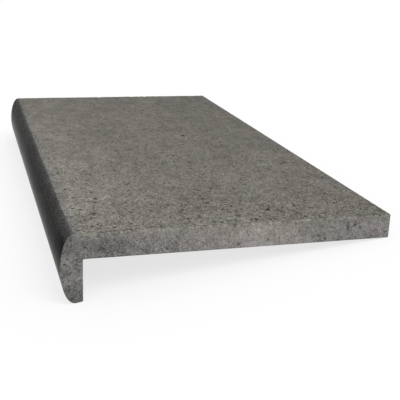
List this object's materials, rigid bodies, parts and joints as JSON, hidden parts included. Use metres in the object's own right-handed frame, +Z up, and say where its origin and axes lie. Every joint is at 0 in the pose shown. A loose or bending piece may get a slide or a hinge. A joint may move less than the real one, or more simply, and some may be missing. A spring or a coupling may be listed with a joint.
{
  "type": "bullnose coping tile",
  "caption": "Flat rectangular stone tile with a down-turned leg along a long edge, whose outer face is a full-height bullnose; flamed top, honed nose, sawn ends.",
  "frame": {"origin": "on the floor under the middle of the tile as it lies unheld, on the toe of its leg and the lower edge of its back", "axes": "+Z up, +Y along the length of the tile, +X from the nose to the back; the slab slopes down about 7.7 degrees towards +X"},
  "size_m": [0.4026, 0.8, 0.0813],
  "materials": {
    "stone": "matte"
  },
  "bodies": {
    "root": {"bullnose_tile": "stone"}
  },
  "joints": []
}
